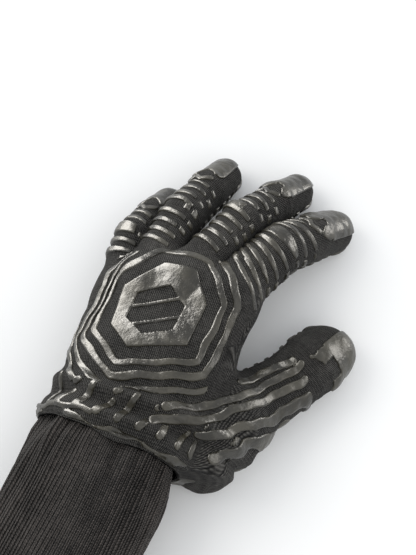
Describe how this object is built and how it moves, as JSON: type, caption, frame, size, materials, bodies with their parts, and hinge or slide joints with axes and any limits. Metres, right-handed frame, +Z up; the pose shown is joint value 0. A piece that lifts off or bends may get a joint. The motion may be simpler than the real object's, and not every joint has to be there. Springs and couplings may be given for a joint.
{
  "type": "heat resistant glove",
  "caption": "Left hand heat resistant knit glove for outdoor cooking, with raised silicone print on both faces and a long ribbed cuff.",
  "frame": {"origin": "middle of the glove's base box on the surface it lies on, palm down", "axes": "+Z up, +Y from the cuff towards the fingers, +X towards the thumb"},
  "size_m": [0.1666, 0.3167, 0.0751],
  "materials": {
    "aramid_knit": "matte seven-gauge knit, charcoal",
    "cuff_rib": "matte rib knit, charcoal brown",
    "hem_thread": "overlocked thread, black",
    "cotton_liner": "unbleached cotton jersey",
    "silicone_print": "glossy cured silicone, dark olive grey"
  },
  "bodies": {
    "palm": {"palm_knit": "aramid_knit", "palm_liner": "cotton_liner", "hexagon_print": "silicone_print", "ring_print": "silicone_print", "band_print": "silicone_print", "border_print": "silicone_print", "palm_grip": "silicone_print"},
    "cuff": {"cuff_knit": "cuff_rib", "cuff_hem": "hem_thread"},
    "index_base": {"index_base_knit": "aramid_knit", "index_base_liner": "cotton_liner", "index_base_print": "silicone_print", "index_base_grip": "silicone_print"},
    "index_tip": {"index_tip_knit": "aramid_knit", "index_tip_liner": "cotton_liner", "index_tip_print": "silicone_print", "index_tip_grip": "silicone_print"},
    "middle_base": {"middle_base_knit": "aramid_knit", "middle_base_liner": "cotton_liner", "middle_base_print": "silicone_print", "middle_base_grip": "silicone_print"},
    "middle_tip": {"middle_tip_knit": "aramid_knit", "middle_tip_liner": "cotton_liner", "middle_tip_print": "silicone_print", "middle_tip_grip": "silicone_print"},
    "ring_base": {"ring_base_knit": "aramid_knit", "ring_base_liner": "cotton_liner", "ring_base_print": "silicone_print", "ring_base_grip": "silicone_print"},
    "ring_tip": {"ring_tip_knit": "aramid_knit", "ring_tip_liner": "cotton_liner", "ring_tip_print": "silicone_print", "ring_tip_grip": "silicone_print"},
    "little_base": {"little_base_knit": "aramid_knit", "little_base_liner": "cotton_liner", "little_base_print": "silicone_print", "little_base_grip": "silicone_print"},
    "little_tip": {"little_tip_knit": "aramid_knit", "little_tip_liner": "cotton_liner", "little_tip_print": "silicone_print", "little_tip_grip": "silicone_print"},
    "thumb_base": {"thumb_base_knit": "aramid_knit", "thumb_base_liner": "cotton_liner", "thumb_base_print": "silicone_print", "thumb_base_grip": "silicone_print"},
    "thumb_tip": {"thumb_tip_knit": "aramid_knit", "thumb_tip_liner": "cotton_liner", "thumb_tip_print": "silicone_print", "thumb_tip_grip": "silicone_print"}
  },
  "joints": [
    {"name": "index_root", "type": "hinge", "parent": "palm", "child": "index_base", "pos_m": [0.02031, 0.07708, 0.02752], "axis": [-0.886, 0.4444, -0.1324], "range_deg": [-14, 60], "stiffness_Nm_per_rad": 0.12},
    {"name": "index_bend", "type": "hinge", "parent": "index_base", "child": "index_tip", "pos_m": [0.03391, 0.09743, 0.02372], "axis": [-0.8555, 0.3782, -0.3537], "range_deg": [-21, 66], "stiffness_Nm_per_rad": 0.08},
    {"name": "middle_root", "type": "hinge", "parent": "palm", "child": "middle_base", "pos_m": [-0.00286, 0.08458, 0.02738], "axis": [-0.9168, 0.375, -0.137], "range_deg": [-14, 60], "stiffness_Nm_per_rad": 0.12},
    {"name": "middle_bend", "type": "hinge", "parent": "middle_base", "child": "middle_tip", "pos_m": [0.00903, 0.10754, 0.02355], "axis": [-0.8952, 0.3348, -0.2942], "range_deg": [-18, 70], "stiffness_Nm_per_rad": 0.08},
    {"name": "ring_root", "type": "hinge", "parent": "palm", "child": "ring_base", "pos_m": [-0.0277, 0.08122, 0.02523], "axis": [-0.9799, 0.1353, -0.1464], "range_deg": [-14, 60], "stiffness_Nm_per_rad": 0.12},
    {"name": "ring_bend", "type": "hinge", "parent": "ring_base", "child": "ring_tip", "pos_m": [-0.02324, 0.10355, 0.0223], "axis": [-0.9651, 0.1198, -0.2329], "range_deg": [-19, 70], "stiffness_Nm_per_rad": 0.08},
    {"name": "little_root", "type": "hinge", "parent": "palm", "child": "little_base", "pos_m": [-0.04989, 0.07459, 0.02057], "axis": [-0.9886, 0.0283, -0.1477], "range_deg": [-6, 60], "stiffness_Nm_per_rad": 0.12},
    {"name": "little_bend", "type": "hinge", "parent": "little_base", "child": "little_tip", "pos_m": [-0.04773, 0.08719, 0.01956], "axis": [-0.9465, 0.0041, -0.3226], "range_deg": [-25, 70], "stiffness_Nm_per_rad": 0.08},
    {"name": "thumb_root", "type": "hinge", "parent": "palm", "child": "thumb_base", "pos_m": [0.02751, 0.0261, 0.01226], "axis": [-0.4561, 0.5709, 0.6826], "range_deg": [-5, 14], "stiffness_Nm_per_rad": 0.12},
    {"name": "thumb_bend", "type": "hinge", "parent": "thumb_base", "child": "thumb_tip", "pos_m": [0.04778, 0.04581, 0.00932], "axis": [-0.4561, 0.5709, 0.6826], "range_deg": [-6, 30], "stiffness_Nm_per_rad": 0.08},
    {"name": "wrist", "type": "hinge", "parent": "palm", "child": "cuff", "pos_m": [-0.0224, -0.0244, 0.0315], "axis": [1, 0, 0], "range_deg": [-10, 15], "stiffness_Nm_per_rad": 0.35}
  ]
}
